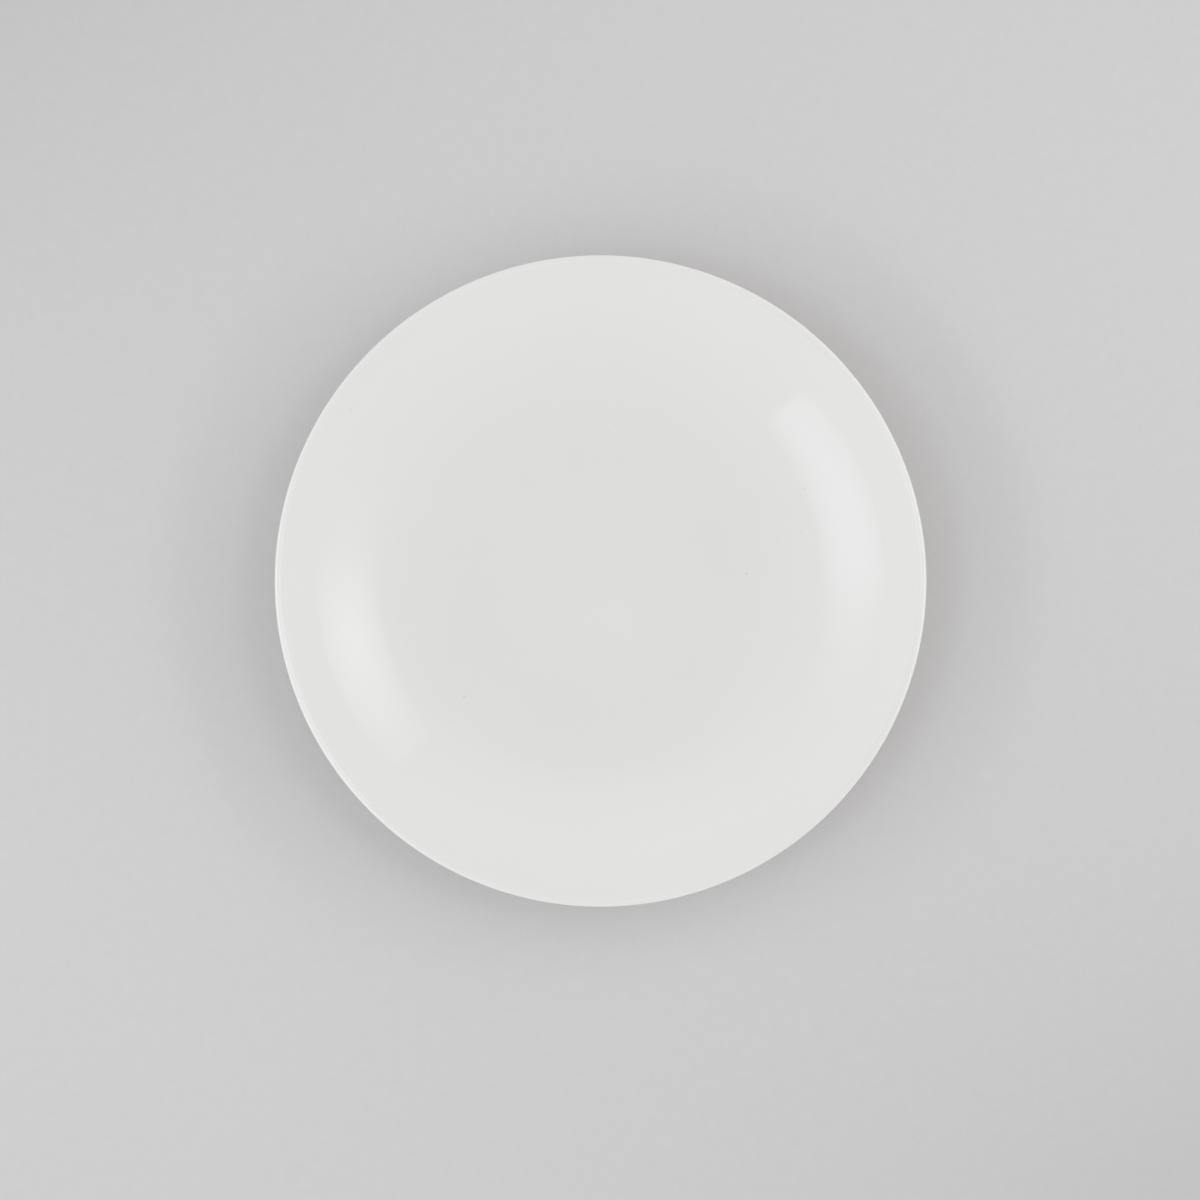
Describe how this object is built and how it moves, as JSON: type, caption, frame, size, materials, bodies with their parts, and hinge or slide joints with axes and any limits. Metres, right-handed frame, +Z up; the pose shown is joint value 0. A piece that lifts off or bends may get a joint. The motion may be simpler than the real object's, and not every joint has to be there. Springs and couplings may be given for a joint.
{
  "type": "coupe dinner plate",
  "caption": "Round white coupe dinner plate: a flat well that sweeps up to a thin rounded lip with no separate rim, on a low foot ring whose standing face is left bare.",
  "frame": {"origin": "centre of the foot ring's standing face, on the plate's axis", "axes": "+Z up along the plate's axis, from the foot ring to the eating side; X and Y are alike, because the plate is turned"},
  "size_m": [0.27, 0.27, 0.03],
  "materials": {
    "china": "fired, bare, fine-grained and matt",
    "glaze": "glossy white, with a soft orange-peel waviness"
  },
  "bodies": {
    "root": {"china_body": "china", "outer_glaze": "glaze", "recess_glaze": "glaze"}
  },
  "joints": []
}
